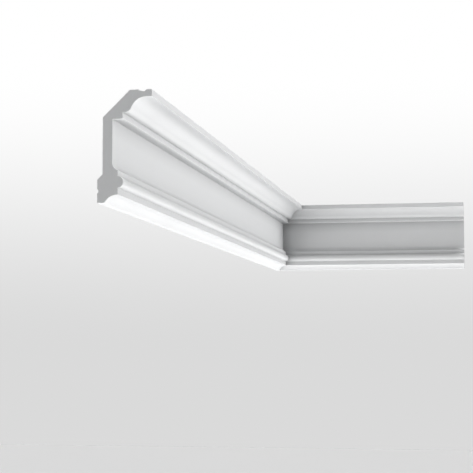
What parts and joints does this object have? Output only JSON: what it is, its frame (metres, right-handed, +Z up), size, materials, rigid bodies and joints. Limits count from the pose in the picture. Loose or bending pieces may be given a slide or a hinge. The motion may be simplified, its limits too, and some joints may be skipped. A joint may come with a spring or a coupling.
{
  "type": "cornice moulding length",
  "caption": "Plain white cornice moulding with ogee, tall flat frieze, bead and cavetto: a long length and a short return, mitred at an inside corner and cut square at the free ends.",
  "frame": {"origin": "where the two wall faces meet at the moulding's bottom edge, in the inside corner", "axes": "+Z up to the ceiling; the long length runs along -Y with its back to x = 0, the short one along +X with its back to y = 0"},
  "size_m": [0.42, 1.44, 0.14],
  "materials": {
    "primed_foam": "rigid foam with a smooth matt white factory primer, and plain grey cut ends"
  },
  "bodies": {
    "root": {"cornice_long_length": "primed_foam", "cornice_short_length": "primed_foam"}
  },
  "joints": []
}
